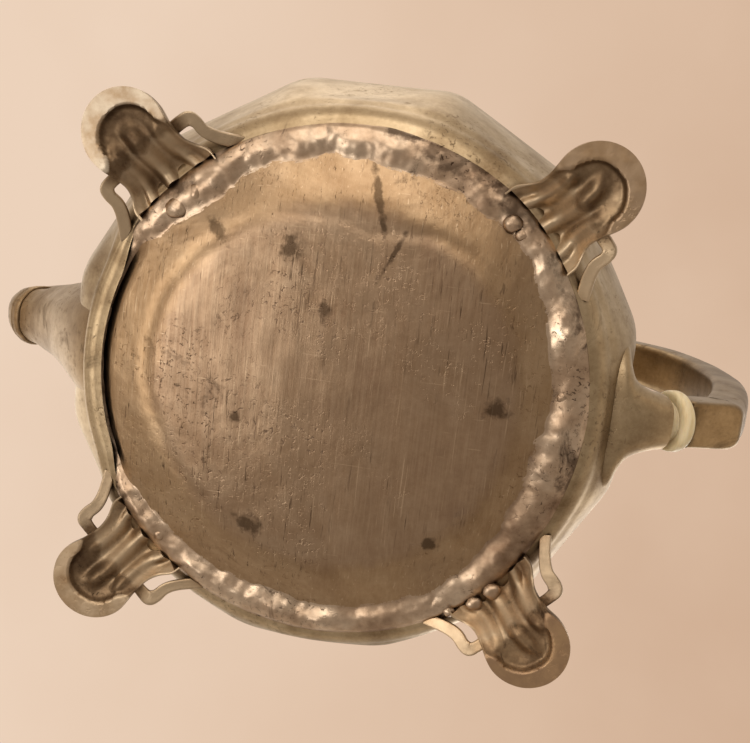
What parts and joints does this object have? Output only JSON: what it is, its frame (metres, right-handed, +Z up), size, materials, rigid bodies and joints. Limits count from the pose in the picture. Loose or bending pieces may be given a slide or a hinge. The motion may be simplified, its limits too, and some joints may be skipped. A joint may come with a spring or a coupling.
{
  "type": "coffee pot",
  "caption": "Tall panelled metal coffee pot on cast scroll feet, with a hinged domed lid, a curved spout and an insulated side handle.",
  "frame": {"origin": "point on the resting plane, on the body's vertical axis, under the middle of the base plate", "axes": "+Z up along the body's axis, +X towards the spout, -X towards the handle and the lid hinge"},
  "size_m": [0.205, 0.1372, 0.2322],
  "materials": {
    "silver": "tarnished silver plate, yellowish olive grey, fine scratches",
    "base_metal": "dull brown-grey plate with pits and brush marks",
    "solder": "dark lumpy solder with a dull shine",
    "ivory": "cream ivory, softly polished",
    "brass": "dull brass"
  },
  "bodies": {
    "pot": {"body_shell": "silver", "neck_rim": "silver", "base_plate": "base_metal", "base_solder": "solder", "foot_spout_left": "base_metal", "foot_handle_left": "base_metal", "foot_handle_right": "base_metal", "foot_spout_right": "base_metal", "spout_lower": "silver", "spout_neck": "silver", "spout_collar": "silver", "handle_lower_socket": "silver", "lower_insulator": "ivory", "lower_dowel": "brass", "handle_grip": "silver", "upper_dowel": "brass", "upper_insulator": "ivory", "handle_upper_socket": "silver", "cross_pins": "brass", "hinge_bracket": "silver", "hinge_pin": "brass"},
    "lid": {"lid_hinge_leaf": "silver", "lid_flange": "silver", "lid_dome": "silver", "finial_base": "silver", "finial_knob": "ivory", "finial_screw": "brass", "finial_nut": "brass"}
  },
  "joints": [
    {"name": "lid_hinge", "type": "hinge", "parent": "pot", "child": "lid", "pos_m": [-0.0465, 0, 0.1818], "axis": [0, -1, 0], "range_deg": [0, 100]}
  ]
}
